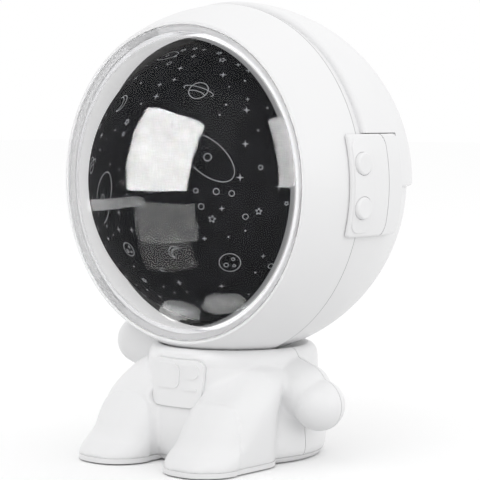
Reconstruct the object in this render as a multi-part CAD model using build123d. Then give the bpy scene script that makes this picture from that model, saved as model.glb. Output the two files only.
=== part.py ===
"""Seated toy-astronaut star projector with a clear visor, a turning star dome and a turning head.

World frame: millimetres, +Z up, the front faces -Y, the toy's left side is +X, origin on the floor
below the head's centre. Head pieces are drawn in a head frame whose origin is the head's centre:
x to the toy's left, y up and z forward.
"""

import os
from math import acos, cos, pi, radians, sin, sqrt, tan

from build123d import *

os.makedirs("parts", exist_ok=True)

# Driving dimensions
FRONT_R = 56.3
HEAD_BOTTOM_Z = 30.7
HEAD_Z = HEAD_BOTTOM_Z + FRONT_R
REAR_R = FRONT_R - 1.1
HOOD_R = FRONT_R + 0.7
POD_R = FRONT_R + 1.4
SEAM_Z = 6.0
OPENING_Z = 26.0
RIM_LAND = 0.94
COUNTER_R = sqrt(FRONT_R**2 - OPENING_Z**2) - RIM_LAND
COUNTER_DEPTH = 1.4
OPENING_R = COUNTER_R - 1.8
FLOOR_GAP = 0.5

# Fits
GAP = 0.3
RUNNING = 0.05
SCREW_FIT = 0.05

# Head shells
FRONT_WALL = 2.3
REAR_WALL = 2.4
FRONT_INNER_R = FRONT_R - FRONT_WALL
REAR_INNER_R = REAR_R - REAR_WALL
LIP_DEPTH = 4.5
LIP_BACK_Z = OPENING_Z - LIP_DEPTH
RIM_FILLET = 0.35
SEAM_CHAMFER = 0.25
HOOD_FRONT_Z = 3.0
HOOD_LIP_Y = -1.1
HOOD_FRONT_FILLET = 1.5
HOOD_LIP_FILLET = 0.9
LAP_R = REAR_INNER_R + 0.2
LAP_WALL = 1.4
LAP_LENGTH = 3.0
PAD_ROOT = 0.6

# Ear pods
POD_FRONT_Z = 11.2
POD_REAR_Z = -15.0
POD_HALF_HEIGHT = 15.4
POD_EDGE = 0.9
POD_REAR_CORNER = 3.0
POD_FRONT_CORNER = 1.2
CAP_REAR_Z = -5.6
CAP_CORNER = 4.6
SEAT_X = POD_R - 6.7
LAND_HALF_HEIGHT = 10.6
LAND_FRONT_Z = 10.5
LAND_REAR_Z = -12.0
PAD_THICK = 2.4
PAD_X = SEAT_X - PAD_THICK
PAD_HALF_HEIGHT = 13.0
PAD_FRONT_Z = 12.4
PAD_REAR_Z = -15.0
LOBE_RISE = 0.4
LOBE_REAR_Z = 2.6
LOBE_FRONT_Z = POD_FRONT_Z - 0.6
LOBE_INSET = 1.2
CAP_CEILING_X = POD_R - 2.8
ROOM_REAR_Z = -0.6
ROOM_FRONT_Z = LAND_FRONT_Z + 0.05
EAR_SCREW_SHANK = 0.9
EAR_SCREW_HEAD = 1.8
EAR_SCREW_YZ = ((7.6, -3.2), (-7.6, -3.2), (5.0, -10.4), (-5.0, -10.4))
EAR_SCREW_LENGTH = 5.4

# Buttons
BUTTON_Y = 6.6
BUTTON_Z = 6.9
BUTTON_R = 3.4
BUTTON_FIT = 0.1
BUTTON_TOP_X = POD_R + 0.5
BUTTON_TRAVEL = 0.6
TAB_HALF_WIDTH = 3.9
TAB_HALF_DEPTH = 2.4
TAB_THICK = 0.8
TAB_TOP_X = CAP_CEILING_X - 0.1
TAB_BOTTOM_X = TAB_TOP_X - TAB_THICK
BOARD_THICK = 1.0
BOARD_TOP_X = SEAT_X + BOARD_THICK
BOARD_HALF_WIDTH = 8.8
BOARD_REAR_Z = -1.4
BOARD_FRONT_Z = 9.2
SWITCH_HEIGHT = 1.2
SWITCH_SIDE = 4.6
SWITCH_Z = BUTTON_Z - 0.8
PLUNGER_R = 1.2

# Star drive
MODULE = 0.8
WHEEL_TEETH = 60
PINION_TEETH = 12
GEAR_BACKLASH = 0.16
GEAR_WIDTH = 3.5
GEAR_Z = -3.5
DRIVE_DISTANCE = MODULE * (WHEEL_TEETH + PINION_TEETH) / 2
CARRIER_Z = 4.0
CARRIER_THICK = 2.0
CARRIER_HUB_WALL = 3.2
CARRIER_HOLE_CIRCLE_R = 33.5
CARRIER_HOLE_R = 5.5
STAR_RIM_Z = CARRIER_Z + CARRIER_THICK
STAR_WALL = 1.2
STAR_FLANGE = 3.0
STAR_FLANGE_THICK = 1.6
POST_R = 10.3
POST_BORE_R = 8.3
POST_FRONT_Z = 7.6
POST_FLANGE_R = 16.0
POST_SCREW_R = 13.2
POST_SCREW_ANGLES = (30, 150, 270)
POST_SCREW_SHANK = 1.0
CLIP_BACK_Z = STAR_RIM_Z + 0.2
CLIP_FRONT_Z = CLIP_BACK_Z + 1.0
CLIP_WALL = 2.6
CLIP_GROOVE = 0.6
STAGE_R = PAD_X - 1.2
STAGE_BACK_Z = -10.0
STAGE_THICK = 2.5
STAGE_FRONT_Z = STAGE_BACK_Z + STAGE_THICK
STAGE_FLAT_Y = 5.0 - STAGE_R
STAGE_POST_R = STAGE_R - 5.0
STAGE_POST_ANGLES = (20, 160, 250, 290)
STAGE_BOSS_R = 3.4
STAGE_SCREW_SHANK = 1.2
STAGE_SCREW_LENGTH = 7.5
MOTOR_R = 8.0
MOTOR_LENGTH = 20.0
GEARBOX_LENGTH = 7.5
GEARBOX_HALF_WIDTH = 8.4
GEARBOX_HALF_HEIGHT = 6.2
MOTOR_SCREW_X = 5.6
MOTOR_SCREW_SHANK = 0.8
SHAFT_R = 1.5

# Lamp
LAMP_BOARD_R = 9.6
LAMP_BOARD_THICK = 1.2
LAMP_BASE_Z = POST_FRONT_Z + LAMP_BOARD_THICK
LENS_R = 8.2
LENS_RIM = 2.4
LENS_POCKET_R = 4.2
SINK_R = 14.0
SINK_DEPTH = 14.0
SINK_PLATE = 3.0
SINK_NECK = 1.6
FIN_COUNT = 7
FIN_THICK = 1.4

# Visor
FLANGE_Z = OPENING_Z - COUNTER_DEPTH + 0.1
FLANGE_THICK = 1.1
VISOR_R = sqrt(OPENING_R**2 + FLANGE_Z**2)
VISOR_WALL = 1.6
STAR_R = VISOR_R - 7.0
SKIRT_R = OPENING_R - GAP
SKIRT_WALL = 1.4
SKIRT_BACK_Z = 16.0
LUG_ANGLES = (90, 210, 330)
LUG_SPAN = 14.0
LUG_R = SKIRT_R + 1.6
LUG_THICK = 2.2
FLANGE_R = COUNTER_R - GAP
TWIST_ANGLE = 20.0
SLOT_SPAN = LUG_SPAN + 3.0

# Neck, measured up from the floor
NECK_R = 12.0
NECK_BORE_R = 8.5
CUP_R = FRONT_R + 0.45
CUP_RIM_R = 23.4
CUP_WALL = 2.4
NECK_SEAT_Z = HEAD_BOTTOM_Z + 6.8
NECK_FLANGE_R = 18.0
NECK_FLANGE_THICK = 2.5
NECK_PAD_R = 19.0
NECK_SCREW_R = 15.0
NECK_SCREW_ANGLES = (45, 135, 225, 315)
NECK_SCREW_SHANK = 0.9
NECK_SCREW_HEAD = 1.9
BUSH_TOP_Z = 30.0
BUSH_SEAT_Z = 27.0
BUSH_BOTTOM_Z = 25.5
BUSH_R = 15.0
BUSH_FLANGE_R = 19.0
BUSH_SCREW_R = 17.0
BUSH_SCREW_ANGLES = (35, 145, 215, 325)
BUSH_SCREW_SHANK = 0.9
COLLAR_R = 14.5
COLLAR_HEIGHT = 1.2
COLLAR_GAP = 0.1
RETAINER_THICK = 1.8
RETAINER_SCREW_R = 10.2
RETAINER_SCREW_ANGLES = (90, 210, 330)
RETAINER_SCREW_SHANK = 0.8

# Body, measured up from the floor
COVER_TOP_Z = 2.0
TORSO_PROFILE = (
    (24.2, 35.5), (26.2, 34.3), (27.1, 32.0), (27.2, 29.0), (27.8, 23.0), (29.0, 15.0), (29.95, 5.4),
)
TORSO_BASE_BULGE = (29.33, 2.6)
TORSO_BASE_R = 27.8
COLLAR_GROOVE_Z = 30.3
COLLAR_GROOVE_DEPTH = 0.5
BODY_SEAM = 0.1
CAVITY_R = 24.6
CAVITY_TOP_Z = 34.0
BOSS_XZ = ((19.4, 8.3), (19.4, 21.8))
BOSS_MOUTH_R = 2.15
BOSS_R = 2.9
BODY_SCREW_SHANK = 1.0
BODY_SCREW_SEAT_Y = 5.0
BOSS_MOUTH_Y = 40.0
FRONT_BOSS_Y = (-15.0, 0.0)
REAR_BOSS_Y = (0.0, 16.0)
LEG_SECTIONS = (
    # z, inner x, outer x, front y, back y, corner
    (0.0, 6.4, 29.8, -45.4, -8.0, 10.6),
    (2.5, 6.0, 30.3, -45.2, -8.2, 11.0),
    (5.0, 5.8, 30.6, -43.4, -8.4, 11.2),
    (8.0, 5.4, 31.0, -39.4, -8.4, 11.6),
    (11.0, 5.0, 31.4, -37.0, -8.4, 12.0),
    (15.0, 4.8, 31.8, -34.4, -8.4, 12.0),
    (19.0, 4.8, 31.8, -31.4, -8.0, 11.2),
    (23.0, 5.4, 31.0, -26.6, -7.0, 9.2),
    (26.5, 7.2, 29.4, -22.0, -5.0, 7.6),
    (29.5, 10.0, 26.6, -18.0, -4.0, 6.0),
    (31.2, 13.4, 23.0, -14.0, -6.0, 3.6),
)
HEM_STEP = 0.6
HEM_FOOT_Y = -33.6
HEM_TOP_Y = -30.0
HEM_TOP_Z = 21.0
LEG_ROOM_X = (11.0, 25.4)
LEG_ROOM_Y = (-32.4, -17.5)
LEG_ROOM_TOP_Z = 12.0
LEFT_SLEEVE = ((19.5, 0.0, 26.3, 8.4), (30.0, -0.8, 22.4, 8.6))
LEFT_HAND = (36.0, -1.0, 18.6, 8.1)
RIGHT_ARM = ((-20.0, 0.0, 26.0, 7.8), (-31.0, -0.5, 30.0, 7.9), (-40.0, -1.0, 33.0, 8.0))

# Chest panel
PANEL_HALF_TOP = 10.5
PANEL_HALF_BOTTOM = 9.9
PANEL_BOTTOM_Z = 17.8
PANEL_TOP_Z = 32.4
PANEL_CORNER = 3.0
PANEL_RISE = 0.7
PANEL_DEPTH = 0.9
PANEL_SIDE_GAP = 0.15
PANEL_REACH_Y = (-40.0, -15.0)
RELIEF_RISE = 0.35
RELIEF_PADS = (
    # left x, right x, low z, high z, corner
    (-9.0, 2.2, 23.4, 31.2, 2.2),
    (4.2, 8.8, 26.6, 31.2, 1.8),
    (4.2, 8.6, 23.0, 23.7, 0.3),
)

# Inside the body
FOOT_R = 4.0
FOOT_THICK = 1.1
FOOT_FIT = 0.1
FOOT_XY = ((19.0, -28.6), (15.0, 16.0))
COVER_SCREW_XY = ((7.0, 21.6), (19.0, -35.4))
COVER_SCREW_SHANK = 1.0
COVER_SCREW_RECESS = 0.7
COVER_BOSS_R = 2.6
COVER_BOSS_TOP_Z = 9.0
CELL_SIZE = (32.0, 26.0, 7.0)
CELL_Z = COVER_TOP_Z + 1.2
TRAY_WALL = 1.0
TRAY_FIT = 0.2
BOARD_Z = 13.0
MAIN_BOARD_R = 23.4
MAIN_BOARD_THICK = 1.2
MAIN_BOARD_TOP_Z = BOARD_Z + MAIN_BOARD_THICK
MAIN_BOARD_HALF_X = 17.0
MAIN_BOARD_FRONT_Y = -18.5
MAIN_BOARD_REAR_Y = 20.8
STANDOFF_XY = ((14.0, 16.4), (14.0, -16.4))
STANDOFF_R = 2.6
BOARD_SCREW_SHANK = 0.9
USB_SIZE = (8.94, 3.3)
USB_WALL = 0.35
USB_FACE_Y = 28.6
USB_LENGTH = 11.0
BALLAST_SIZE = (12.0, 12.0, 7.0)
BALLAST_CENTRE = (18.4, -25.4)

BIG = 200.0


def block(x0, x1, y0, y1, z0, z1):
    return Pos((x0 + x1) / 2, (y0 + y1) / 2, (z0 + z1) / 2) * Box(x1 - x0, y1 - y0, z1 - z0)


def slab(z0, z1):
    return block(-BIG, BIG, -BIG, BIG, z0, z1)


def rod(radius, z0, z1, x=0.0, y=0.0):
    return Pos(x, y, (z0 + z1) / 2) * Cylinder(radius, z1 - z0)


def tube(outer, inner, z0, z1, x=0.0, y=0.0):
    return rod(outer, z0, z1, x, y) - rod(inner, z0 - 1, z1 + 1, x, y)


def rod_x(radius, x0, x1, y=0.0, z=0.0):
    return Pos((x0 + x1) / 2, y, z) * Rot(0, 90, 0) * Cylinder(radius, x1 - x0)


def rod_y(radius, y0, y1, x=0.0, z=0.0):
    return Pos(x, (y0 + y1) / 2, z) * Rot(90, 0, 0) * Cylinder(radius, y1 - y0)


def on_circle(radius, angle):
    return radius * cos(radians(angle)), radius * sin(radians(angle))


def to_world(shape):
    return Pos(0, 0, HEAD_Z) * Rot(90, 0, 0) * shape


def mirrored(shape):
    return mirror(shape, about=Plane.YZ)


def both_sides(shape):
    return [shape, mirrored(shape)]


def screw(shank_r, head_r, head_height, length):
    """Pan-head screw pointing down, with the underside of its head at the origin."""
    body = rod(shank_r, -length, 0) + rod(head_r, 0, head_height)
    body = fillet(body.edges().sort_by(Axis.Z)[-1], head_height * 0.4)
    slot_width = head_r * 0.3
    for turn in (0, 90):
        body -= Rot(0, 0, turn) * block(
            -head_r * 0.6, head_r * 0.6, -slot_width / 2, slot_width / 2, head_height * 0.5, head_height + 1
        )
    return body


def gear(teeth, width, bore):
    """Involute spur gear with a tooth centred on the x axis."""
    pressure = radians(20)
    pitch_r = MODULE * teeth / 2
    base_r = pitch_r * cos(pressure)
    tip_r = pitch_r + 0.85 * MODULE
    root_r = pitch_r - 1.2 * MODULE
    start_r = max(base_r, root_r + 0.05)

    def involute(angle):
        return tan(angle) - angle

    half_tooth = pi / (2 * teeth) - GEAR_BACKLASH / (2 * pitch_r)
    steps = 4
    radii = [start_r + (tip_r - start_r) * step / steps for step in range(steps + 1)]
    flank = [(r, half_tooth + involute(pressure) - involute(acos(min(1.0, base_r / r)))) for r in radii]
    outline = []
    for tooth in range(teeth):
        centre = 2 * pi * tooth / teeth
        tooth_points = [(root_r, -flank[0][1])] + [(r, -a) for r, a in flank]
        tooth_points += [(r, a) for r, a in reversed(flank)] + [(root_r, flank[0][1])]
        outline += [(r * cos(centre + a), r * sin(centre + a)) for r, a in tooth_points]
    body = extrude(make_face(Polyline(*outline, close=True)), amount=width)
    return body - rod(bore, -1, width + 1)


# Head shells


def land_pocket(clearance):
    half = LAND_HALF_HEIGHT + clearance
    return block(SEAT_X, BIG, -half, half, LAND_REAR_Z - clearance, LAND_FRONT_Z + clearance)


def ear_pad(z0, z1, inner_r):
    """Flat inner pad behind an ear pod."""
    return block(PAD_X, BIG, -PAD_HALF_HEIGHT, PAD_HALF_HEIGHT, z0, z1) & Sphere(inner_r + PAD_ROOT)


def ear_openings():
    openings = [block(PAD_X - 5, BIG, -2.0, 2.0, 1.0, 5.0)]
    openings += [rod_x(EAR_SCREW_SHANK + SCREW_FIT, PAD_X - 1, BIG, y, z) for y, z in EAR_SCREW_YZ]
    return openings


def neck_cut():
    """Hole for the neck through the lowest part of the head, in the head frame."""
    return rod_y(NECK_R + GAP, -BIG / 2, -40)


def neck_pad(inner_r):
    seat_y = NECK_SEAT_Z - HEAD_Z
    return rod_y(NECK_PAD_R, -BIG / 2, seat_y) & Sphere(inner_r + PAD_ROOT)


def neck_screw_holes():
    return [
        rod_y(NECK_SCREW_SHANK + SCREW_FIT, NECK_SEAT_Z - HEAD_Z - 3.4, -40, x, z)
        for x, z in neck_screw_points()
    ]


def neck_screw_points():
    return [on_circle(NECK_SCREW_R, angle) for angle in NECK_SCREW_ANGLES]


def front_shell():
    shell = Sphere(FRONT_R) - Sphere(FRONT_INNER_R)
    shell += (Sphere(FRONT_R) & slab(LIP_BACK_Z, BIG)) - Sphere(FRONT_INNER_R - 6)
    shell &= slab(SEAM_Z, OPENING_Z)
    shell -= rod(OPENING_R, -BIG, BIG)
    shell -= rod(COUNTER_R, OPENING_Z - COUNTER_DEPTH, BIG)
    rim = [e for e in shell.edges().filter_by(GeomType.CIRCLE) if abs(e.center().Z - OPENING_Z) < 0.01]
    shell = fillet(rim, RIM_FILLET)
    seam = [
        e
        for e in shell.edges().filter_by(GeomType.CIRCLE)
        if abs(e.center().Z - SEAM_Z) < 0.01 and e.radius > FRONT_INNER_R + 0.5
    ]
    shell = chamfer(seam, SEAM_CHAMFER)
    pad = ear_pad(SEAM_Z, PAD_FRONT_Z, FRONT_INNER_R)
    for side in both_sides(pad):
        shell += side
    shell += neck_pad(FRONT_INNER_R) & slab(SEAM_Z, BIG)
    for cut in both_sides(land_pocket(GAP)):
        shell -= cut
    shell -= neck_cut()
    for hole in neck_screw_holes():
        shell -= hole
    for angle in LUG_ANGLES:
        shell -= lug_ring(angle + TWIST_ANGLE, SLOT_SPAN, LUG_R + GAP, LIP_BACK_Z - 1, OPENING_Z)
    return shell


def hood():
    """Raised cover over the upper back of the head, ending in a ledge at mid height."""
    body = Sphere(HOOD_R) & slab(-BIG, HOOD_FRONT_Z)
    front = [e for e in body.edges().filter_by(GeomType.CIRCLE) if abs(e.center().Z - HOOD_FRONT_Z) < 0.01]
    body = fillet(front, HOOD_FRONT_FILLET)
    body &= block(-BIG, BIG, HOOD_LIP_Y, BIG, -BIG, BIG)
    ledge = body.edges().filter_by(lambda e: abs(e.center().Y - HOOD_LIP_Y) < 0.01 and e.length > HOOD_R)
    body = fillet(ledge, HOOD_LIP_FILLET)
    half = POD_HALF_HEIGHT + GAP
    footprint = block(PAD_X - 20, BIG, -half, half, POD_REAR_Z - GAP, POD_FRONT_Z + GAP)
    for cut in both_sides(footprint):
        body -= cut
    return body


def rear_shell():
    shell = Sphere(REAR_R) & slab(-BIG, SEAM_Z)
    shell += hood()
    shell -= Sphere(REAR_INNER_R)
    lap = tube(LAP_R, LAP_R - LAP_WALL, 0, SEAM_Z + LAP_LENGTH)
    pad_room = PAD_HALF_HEIGHT + 0.6
    lap -= block(-BIG, BIG, -pad_room, pad_room, SEAM_Z - 0.5, BIG)
    neck_room = NECK_PAD_R + 0.6
    lap -= block(-neck_room, neck_room, -BIG, 0, -BIG, BIG)
    shell += lap
    for angle in STAGE_POST_ANGLES:
        boss = rod(STAGE_BOSS_R, -BIG, STAGE_BACK_Z, *on_circle(STAGE_POST_R, angle))
        shell += boss & Sphere(REAR_INNER_R + PAD_ROOT)
    pad = ear_pad(PAD_REAR_Z, SEAM_Z, REAR_INNER_R)
    for side in both_sides(pad):
        shell += side
    shell += neck_pad(REAR_INNER_R) & slab(-BIG, SEAM_Z)
    for cut in both_sides(land_pocket(GAP)):
        shell -= cut
    for opening in ear_openings():
        for cut in both_sides(opening):
            shell -= cut
    for angle in STAGE_POST_ANGLES:
        depth = STAGE_SCREW_LENGTH - STAGE_THICK + 3.0
        place = on_circle(STAGE_POST_R, angle)
        shell -= rod(STAGE_SCREW_SHANK + SCREW_FIT, STAGE_BACK_Z - depth, STAGE_BACK_Z + 1, *place)
    shell -= neck_cut()
    for hole in neck_screw_holes():
        shell -= hole
    return shell


# Ear pods, drawn on the left side


def pod():
    body = block(PAD_X, BIG, -POD_HALF_HEIGHT, POD_HALF_HEIGHT, POD_REAR_Z, POD_FRONT_Z)
    along = body.edges().filter_by(Axis.X).sort_by(Axis.Z)
    body = fillet(along[:2], POD_REAR_CORNER)
    along = body.edges().filter_by(Axis.X).sort_by(Axis.Z)
    body = fillet(along[-2:], POD_FRONT_CORNER)
    body &= Sphere(POD_R)
    body = fillet(body.faces().sort_by(Axis.X)[-1].edges(), POD_EDGE)
    under = Sphere(FRONT_R + GAP) & slab(SEAM_Z - GAP, BIG)
    under += Sphere(REAR_R + GAP) & slab(-BIG, SEAM_Z - GAP)
    body -= under - land_pocket(0)
    return body


def cap_outline(grow):
    half = POD_HALF_HEIGHT + 0.6 + grow
    body = block(0, BIG, -half, half, CAP_REAR_Z - grow, POD_FRONT_Z + 5)
    rear = body.edges().filter_by(Axis.X).sort_by(Axis.Z)[:2]
    return fillet(rear, CAP_CORNER + grow)


def ear_cap():
    body = pod() & cap_outline(0)
    lobe_half = POD_HALF_HEIGHT - LOBE_INSET
    lobe = block(PAD_X, BIG, -lobe_half, lobe_half, LOBE_REAR_Z, LOBE_FRONT_Z)
    lobe = fillet(lobe.edges().filter_by(Axis.X), 3.0) & Sphere(POD_R + LOBE_RISE)
    lobe = fillet(lobe.faces().sort_by(Axis.X)[-1].edges(), 0.3)
    body += lobe - Sphere(POD_R - 1)
    tab_room = BUTTON_Y + TAB_HALF_WIDTH + 0.5
    body -= block(0, CAP_CEILING_X, -tab_room, tab_room, ROOM_REAR_Z, ROOM_FRONT_Z)
    board_room = BOARD_HALF_WIDTH + 0.2
    body -= block(0, BOARD_TOP_X + 0.9, -board_room, board_room, BOARD_REAR_Z - 0.4, BOARD_FRONT_Z + 0.2)
    for y in (-BUTTON_Y, BUTTON_Y):
        body -= rod_x(BUTTON_R + BUTTON_FIT, PAD_X, BIG, y, BUTTON_Z)
    for y, z in EAR_SCREW_YZ[:2]:
        body -= ear_screw_hole(y, z)
    return body


def ear_screw_hole(y, z):
    depth = EAR_SCREW_LENGTH - PAD_THICK + 0.6
    return rod_x(EAR_SCREW_SHANK + SCREW_FIT, SEAT_X - 1, SEAT_X + depth, y, z)


def ear_base():
    body = pod() - cap_outline(GAP)
    for y, z in EAR_SCREW_YZ[2:]:
        body -= ear_screw_hole(y, z)
    return body


def ear_screws():
    one = Rot(0, -90, 0) * screw(EAR_SCREW_SHANK, EAR_SCREW_HEAD, 1.2, EAR_SCREW_LENGTH)
    placed = []
    for y, z in EAR_SCREW_YZ:
        placed += both_sides(Pos(PAD_X, y, z) * one)
    return placed


def button(y):
    body = rod_x(BUTTON_R, TAB_BOTTOM_X, BUTTON_TOP_X, y, BUTTON_Z)
    body = fillet(body.edges().sort_by(Axis.X)[-1], 0.7)
    low = BUTTON_Z - TAB_HALF_DEPTH
    high = BUTTON_Z + TAB_HALF_DEPTH
    return body + block(TAB_BOTTOM_X, TAB_TOP_X, y - TAB_HALF_WIDTH, y + TAB_HALF_WIDTH, low, high)


def button_board():
    board = block(SEAT_X, BOARD_TOP_X, -BOARD_HALF_WIDTH, BOARD_HALF_WIDTH, BOARD_REAR_Z, BOARD_FRONT_Z)
    return board - block(SEAT_X - 1, SEAT_X + 3, -1.5, 1.5, 1.5, 4.5)


def tact_switch(y):
    half = SWITCH_SIDE / 2
    top_x = BOARD_TOP_X + SWITCH_HEIGHT
    body = block(BOARD_TOP_X, top_x, y - half, y + half, SWITCH_Z - half, SWITCH_Z + half)
    return body - rod_x(PLUNGER_R + RUNNING, BOARD_TOP_X - 1, top_x + 1, y, SWITCH_Z)


def plunger(y):
    bottom_x = BOARD_TOP_X + BUTTON_TRAVEL + 0.15
    return rod_x(PLUNGER_R, bottom_x, TAB_BOTTOM_X, y, SWITCH_Z)


# Star drive and lamp


def star_dome():
    dome = (Sphere(STAR_R) - Sphere(STAR_R - STAR_WALL)) & slab(STAR_RIM_Z, BIG)
    top_z = STAR_RIM_Z + STAR_FLANGE_THICK
    outer = sqrt(STAR_R**2 - top_z**2)
    return dome + tube(outer, outer - STAR_FLANGE, STAR_RIM_Z, top_z)


def dome_carrier():
    rim_r = sqrt(STAR_R**2 - STAR_RIM_Z**2)
    body = rod(rim_r, CARRIER_Z, STAR_RIM_Z)
    body += rod(POST_R + CARRIER_HUB_WALL, GEAR_Z, CARRIER_Z)
    body += Pos(0, 0, GEAR_Z) * gear(WHEEL_TEETH, GEAR_WIDTH, POST_R)
    locating_r = sqrt(STAR_R**2 - (STAR_RIM_Z + STAR_FLANGE_THICK) ** 2) - STAR_FLANGE - GAP
    body += tube(locating_r, locating_r - 1.2, STAR_RIM_Z, STAR_RIM_Z + 1.2)
    for angle in range(0, 360, 60):
        place = on_circle(CARRIER_HOLE_CIRCLE_R, angle)
        body -= rod(CARRIER_HOLE_R, CARRIER_Z - 1, STAR_RIM_Z + 1, *place)
    return body - rod(POST_R + RUNNING, -BIG, BIG)


def lamp_post():
    body = rod(POST_FLANGE_R, STAGE_FRONT_Z, GEAR_Z - 1.2) + rod(POST_R, STAGE_FRONT_Z, POST_FRONT_Z)
    body -= rod(POST_BORE_R, -BIG, BIG)
    for angle in POST_SCREW_ANGLES:
        place = on_circle(POST_SCREW_R, angle)
        body -= rod(POST_SCREW_SHANK + SCREW_FIT, STAGE_FRONT_Z - 1, STAGE_FRONT_Z + 5, *place)
    return body - clip_groove(1.0)


def clip_groove(reach):
    return tube(POST_R + reach, POST_R - CLIP_GROOVE, CLIP_BACK_Z, CLIP_FRONT_Z)


def carrier_clip():
    ring = clip_groove(CLIP_WALL) - rod(POST_R - CLIP_GROOVE + 0.1, -BIG, BIG)
    return ring - block(-1.5, 1.5, POST_R, BIG, -BIG, BIG)


def stage_plate():
    body = rod(STAGE_R, STAGE_BACK_Z, STAGE_FRONT_Z)
    body &= block(-BIG, BIG, STAGE_FLAT_Y, BIG, -BIG, BIG)
    body -= rod(POST_BORE_R, -BIG, BIG)
    body -= rod(SHAFT_R + 1.0, -BIG, BIG, 0, DRIVE_DISTANCE)
    for angle in POST_SCREW_ANGLES:
        body -= rod(POST_SCREW_SHANK + SCREW_FIT, -BIG, BIG, *on_circle(POST_SCREW_R, angle))
    for angle in STAGE_POST_ANGLES:
        body -= rod(STAGE_SCREW_SHANK + SCREW_FIT, -BIG, BIG, *on_circle(STAGE_POST_R, angle))
    for x in (-MOTOR_SCREW_X, MOTOR_SCREW_X):
        body -= rod(MOTOR_SCREW_SHANK + SCREW_FIT, -BIG, BIG, x, DRIVE_DISTANCE)
    return body


def stage_screws():
    one = screw(STAGE_SCREW_SHANK, 2.2, 1.6, STAGE_SCREW_LENGTH)
    return [Pos(*on_circle(STAGE_POST_R, angle), STAGE_FRONT_Z) * one for angle in STAGE_POST_ANGLES]


def post_screws():
    one = Rot(180, 0, 0) * screw(POST_SCREW_SHANK, 1.7, 1.2, STAGE_THICK + 1.7)
    return [Pos(*on_circle(POST_SCREW_R, angle), STAGE_BACK_Z) * one for angle in POST_SCREW_ANGLES]


def motor():
    back = STAGE_BACK_Z - MOTOR_LENGTH
    split = STAGE_BACK_Z - GEARBOX_LENGTH
    can = rod(MOTOR_R, back + 1.2, split, 0, DRIVE_DISTANCE)
    can = fillet(can.edges().sort_by(Axis.Z)[0], 1.0)
    low = DRIVE_DISTANCE - GEARBOX_HALF_HEIGHT
    high = DRIVE_DISTANCE + GEARBOX_HALF_HEIGHT
    gearbox = block(-GEARBOX_HALF_WIDTH, GEARBOX_HALF_WIDTH, low, high, split, STAGE_BACK_Z)
    gearbox = fillet(gearbox.edges().filter_by(Axis.Z), 2.0)
    body = can + gearbox + rod(2.6, back, back + 1.2, 0, DRIVE_DISTANCE)
    body -= rod(SHAFT_R + RUNNING, STAGE_BACK_Z - 6, BIG, 0, DRIVE_DISTANCE)
    for x in (-MOTOR_SCREW_X, MOTOR_SCREW_X):
        body -= rod(MOTOR_SCREW_SHANK + SCREW_FIT, STAGE_BACK_Z - 3.5, BIG, x, DRIVE_DISTANCE)
    return body


def motor_screws():
    one = screw(MOTOR_SCREW_SHANK, 1.4, 1.0, STAGE_THICK + 2.7)
    return [Pos(x, DRIVE_DISTANCE, STAGE_FRONT_Z) * one for x in (-MOTOR_SCREW_X, MOTOR_SCREW_X)]


def motor_shaft():
    shaft = rod(SHAFT_R, STAGE_BACK_Z - 5, GEAR_Z + GEAR_WIDTH + 0.8, 0, DRIVE_DISTANCE)
    return chamfer(shaft.edges().sort_by(Axis.Z)[-1], 0.3)


def pinion():
    width = GEAR_WIDTH + 0.6
    half_pitch = 180 / PINION_TEETH
    body = gear(PINION_TEETH, width, SHAFT_R)
    body += tube(2.6, SHAFT_R, -1.4, 0)
    return Pos(0, DRIVE_DISTANCE, GEAR_Z - 0.3) * Rot(0, 0, 90 + half_pitch) * body


def heat_sink():
    slug = rod(POST_BORE_R - GAP, STAGE_BACK_Z, POST_FRONT_Z)
    plate_top = STAGE_BACK_Z - SINK_NECK
    body = slug + rod(SINK_R, plate_top - SINK_PLATE, plate_top)
    body += rod(POST_BORE_R - GAP, plate_top, STAGE_BACK_Z)
    pitch = 2 * (SINK_R - FIN_THICK) / (FIN_COUNT - 1)
    for index in range(FIN_COUNT):
        x = -SINK_R + FIN_THICK + pitch * index
        left = x - FIN_THICK / 2
        fin = block(left, left + FIN_THICK, -BIG, BIG, STAGE_BACK_Z - SINK_DEPTH, plate_top - 1.0)
        body += fin & rod(SINK_R, -BIG, 0)
    return body


def lamp_board():
    board = rod(LAMP_BOARD_R, POST_FRONT_Z, LAMP_BASE_Z)
    for angle in (45, 225):
        board -= rod(1.0, -BIG, BIG, *on_circle(LAMP_BOARD_R, angle))
    return board


def lamp_emitter():
    top_z = LAMP_BASE_Z + 0.8
    base = block(-2.4, 2.4, -2.4, 2.4, LAMP_BASE_Z, top_z)
    return base + (Pos(0, 0, top_z) * Sphere(1.7) & slab(top_z - 0.1, BIG))


def lamp_lens():
    rim_z = LAMP_BASE_Z + LENS_RIM
    body = rod(LENS_R, LAMP_BASE_Z, rim_z)
    body += Pos(0, 0, rim_z) * Sphere(LENS_R - 0.8) & slab(rim_z, BIG)
    return body - rod(LENS_POCKET_R, LAMP_BASE_Z - 1, rim_z + 1.2)


# Visor


def lug_ring(angle, span, outer, z0, z1):
    """Sector of a ring around the opening, centred on an angle."""
    ring = tube(outer, SKIRT_R - 0.5, z0, z1)
    half = span / 2
    cut_a = Rot(0, 0, angle + half) * block(-BIG, BIG, 0, BIG, -BIG, BIG)
    cut_b = Rot(0, 0, angle - half) * block(-BIG, BIG, -BIG, 0, -BIG, BIG)
    return ring - cut_a - cut_b


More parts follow.
